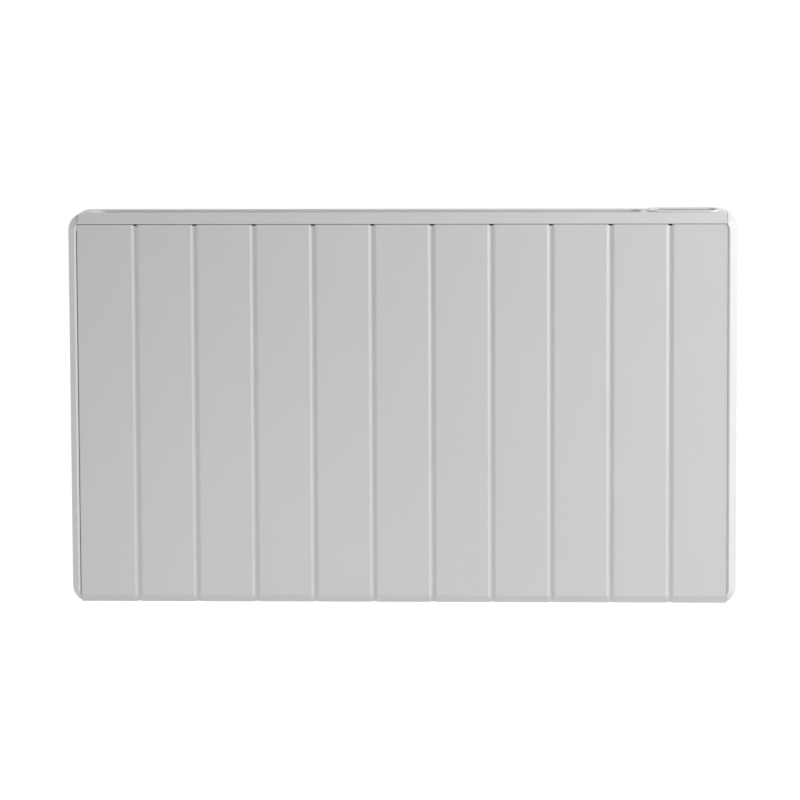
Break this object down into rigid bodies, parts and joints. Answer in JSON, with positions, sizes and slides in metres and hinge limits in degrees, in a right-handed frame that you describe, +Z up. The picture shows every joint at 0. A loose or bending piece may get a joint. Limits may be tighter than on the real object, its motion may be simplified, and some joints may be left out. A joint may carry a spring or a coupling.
{
  "type": "electric panel radiator",
  "caption": "White wall-hung electric panel radiator with a fluted steel front, sloped top trim, louvred air outlet, raised control bezel, moulded end caps and a catch-locked wall bracket.",
  "frame": {"origin": "on the wall plane, at the centre of the bracket's four screw holes", "axes": "+X to the right seen from the front, +Y into the wall, +Z up; the front faces -Y"},
  "size_m": [0.93, 0.1094, 0.5481],
  "materials": {
    "panel_paint": "satin powder coat",
    "case_plastic": "fine satin moulding",
    "grille_plastic": "satin moulding",
    "fascia_plastic": "gloss",
    "display_glass": "clear, tinted",
    "key_plastic": "satin",
    "galvanised": "zinc coated",
    "bracket_paint": "satin powder coat",
    "radiant_aluminium": "mill finish",
    "film_plastic": "smooth film",
    "insulation": "fibrous board",
    "ceramic_white": "matt",
    "board_green": "solder mask",
    "black_plastic": "fine grain",
    "screw_steel": "zinc plated",
    "lead_rubber": "silicone sheath"
  },
  "bodies": {
    "radiator": {"front_panel": "panel_paint", "top_cover": "case_plastic", "outlet_grille": "grille_plastic", "end_cap_left": "case_plastic", "end_cap_right": "case_plastic", "rear_panel": "galvanised", "base_grille": "panel_paint", "end_plate_left": "galvanised", "end_plate_right": "galvanised", "rail_upper": "galvanised", "rail_lower": "galvanised", "radiant_plate": "radiant_aluminium", "heating_film": "film_plastic", "insulation_board": "insulation", "convector_element": "radiant_aluminium", "element_bushes": "ceramic_white", "element_bracket_left": "galvanised", "element_bracket_right": "galvanised", "heat_shield": "radiant_aluminium", "overheat_cutout": "black_plastic", "control_bezel": "case_plastic", "control_fascia": "fascia_plastic", "display_window": "display_glass", "display_module": "black_plastic", "control_board": "board_green", "tact_switches": "black_plastic", "electronics_box": "black_plastic", "power_board": "board_green", "power_relay": "black_plastic", "heat_sink": "radiant_aluminium", "terminal_block": "black_plastic", "cable_gland": "black_plastic", "room_sensor": "screw_steel", "sensor_holder": "black_plastic", "power_switch_body": "black_plastic", "wall_bracket": "bracket_paint", "end_cap_screws": "screw_steel", "rear_panel_screws": "screw_steel", "board_screws": "screw_steel", "element_lead": "lead_rubber"},
    "standby_button": {"button_standby": "key_plastic"},
    "back_button": {"button_back": "key_plastic"},
    "down_button": {"button_down": "key_plastic"},
    "up_button": {"button_up": "key_plastic"},
    "enter_button": {"button_enter": "key_plastic"},
    "rocker": {"power_switch_rocker": "black_plastic"},
    "left_latch": {"latch_left": "screw_steel"},
    "right_latch": {"latch_right": "screw_steel"}
  },
  "joints": [
    {"name": "press_standby", "type": "slide", "parent": "radiator", "child": "standby_button", "axis": [0, 0, -1], "range_m": [0, 0.0008], "stiffness_N_per_m": 1500},
    {"name": "press_back", "type": "slide", "parent": "radiator", "child": "back_button", "axis": [0, 0, -1], "range_m": [0, 0.0008], "stiffness_N_per_m": 1500},
    {"name": "press_down", "type": "slide", "parent": "radiator", "child": "down_button", "axis": [0, 0, -1], "range_m": [0, 0.0008], "stiffness_N_per_m": 1500},
    {"name": "press_up", "type": "slide", "parent": "radiator", "child": "up_button", "axis": [0, 0, -1], "range_m": [0, 0.0008], "stiffness_N_per_m": 1500},
    {"name": "press_enter", "type": "slide", "parent": "radiator", "child": "enter_button", "axis": [0, 0, -1], "range_m": [0, 0.0008], "stiffness_N_per_m": 1500},
    {"name": "switch_rocker", "type": "hinge", "parent": "radiator", "child": "rocker", "pos_m": [0.4575, -0.044, -0.199], "axis": [0, -1, 0], "range_deg": [0, 18]},
    {"name": "turn_left_latch", "type": "hinge", "parent": "radiator", "child": "left_latch", "pos_m": [-0.16, -0.0215, 0.1135], "axis": [0, -1, 0], "range_deg": [0, 90]},
    {"name": "turn_right_latch", "type": "hinge", "parent": "radiator", "child": "right_latch", "pos_m": [0.16, -0.0215, 0.1135], "axis": [0, 1, 0], "range_deg": [0, 90]}
  ]
}
